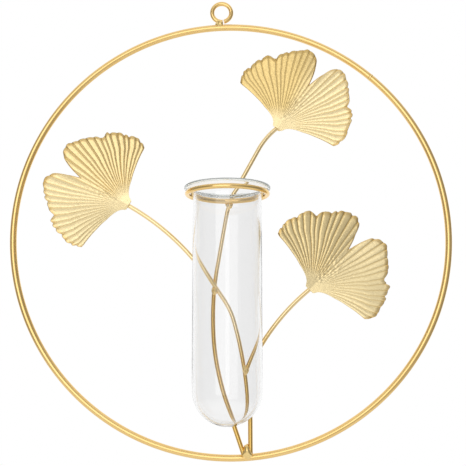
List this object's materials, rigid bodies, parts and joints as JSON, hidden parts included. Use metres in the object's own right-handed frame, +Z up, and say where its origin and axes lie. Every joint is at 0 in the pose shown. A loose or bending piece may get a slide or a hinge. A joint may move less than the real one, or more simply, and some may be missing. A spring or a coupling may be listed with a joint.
{
  "type": "hanging wall vase",
  "caption": "Hanging wall vase: wire hoop with a hanging eye, pleated ginkgo leaves on wire stems, and a glass test tube lifted out of a wire ring.",
  "frame": {"origin": "centre of the hanging eye, where the wall hook goes", "axes": "+Z up as it hangs, -Y towards the viewer, +Y towards the wall, +X to the viewer's right"},
  "size_m": [0.2999, 0.062, 0.3169],
  "materials": {
    "wire": "gold plated wire, satin",
    "leaf": "gold plated sheet, satin",
    "weld": "gold plated weld, satin",
    "glass": "clear glass, polished"
  },
  "bodies": {
    "frame": {"hoop": "wire", "hanging_eye": "wire", "holder_ring": "wire", "stem_up": "wire", "stem_left": "wire", "stem_right": "wire", "leaf_top": "leaf", "leaf_left": "leaf", "leaf_right": "leaf", "hoop_seam_weld": "weld", "eye_weld": "weld", "foot_weld": "weld", "crossing_weld": "weld", "branch_weld": "weld", "holder_weld": "weld", "leaf_top_solder": "weld", "leaf_left_solder": "weld", "leaf_right_solder": "weld"},
    "vase": {"glass_tube": "glass"}
  },
  "joints": [
    {"name": "tube_lift", "type": "slide", "parent": "frame", "child": "vase", "axis": [0, 0, 1], "range_m": [0, 0.155]}
  ]
}
